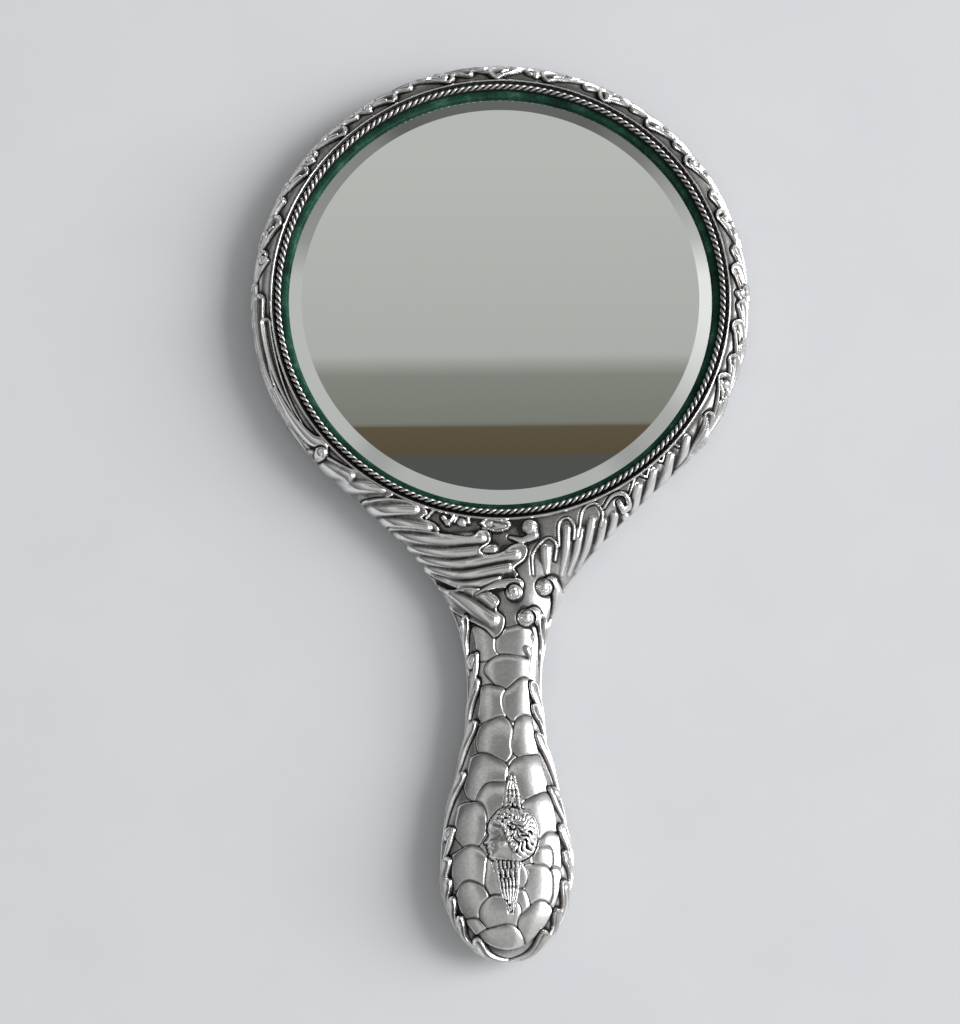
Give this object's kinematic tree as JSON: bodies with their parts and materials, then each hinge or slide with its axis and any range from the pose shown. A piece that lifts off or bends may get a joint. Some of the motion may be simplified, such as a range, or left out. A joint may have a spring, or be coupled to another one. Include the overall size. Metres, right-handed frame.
{
  "type": "hand mirror",
  "caption": "Round-headed hand mirror in embossed silver: bevelled glass in a rope-edged velvet surround, and a flat waisted handle with a rounded bulb end.",
  "frame": {"origin": "on the head's axis, at the flat centre of the back that the mirror rests on", "axes": "+Z is the normal of the mirror glass, +Y runs from the handle to the top of the head, +X to the right when looking at the glass with the handle towards the viewer"},
  "size_m": [0.145, 0.2645, 0.016],
  "materials": {
    "silver_repousse": "die-stamped silver, polished on the high points and oxidised dark in the recesses",
    "silver_collar": "spun silver ring, polished at its rim edge",
    "silver_rope": "two-strand twisted silver wire with dark tarnish between the turns",
    "green_velvet": "dark green cut-pile velvet, worn in places",
    "mirror_glass": "old plate glass with a wide ground bevel, silvered behind",
    "mirror_silvering": "chemically deposited silver film",
    "back_paint": "red-brown protective paint",
    "grey_card": "pressed grey-brown card",
    "wool_felt": "grey-green wool felt",
    "beech_core": "turned beech, unfinished",
    "black_pitch": "black chaser's pitch filling",
    "tang_steel": "rolled steel strip",
    "screw_brass": "turned brass, slotted"
  },
  "bodies": {
    "root": {"front_shell": "silver_repousse", "back_shell": "silver_repousse", "bezel_collar": "silver_collar", "rope_bezel": "silver_rope", "velvet_liner": "green_velvet", "mirror_glass": "mirror_glass", "silvering": "mirror_silvering", "backing_paint": "back_paint", "backing_card": "grey_card", "felt_pad": "wool_felt", "head_core": "beech_core", "handle_fill_front": "black_pitch", "handle_fill_back": "black_pitch", "tang": "tang_steel", "tang_screws": "screw_brass"}
  },
  "joints": []
}
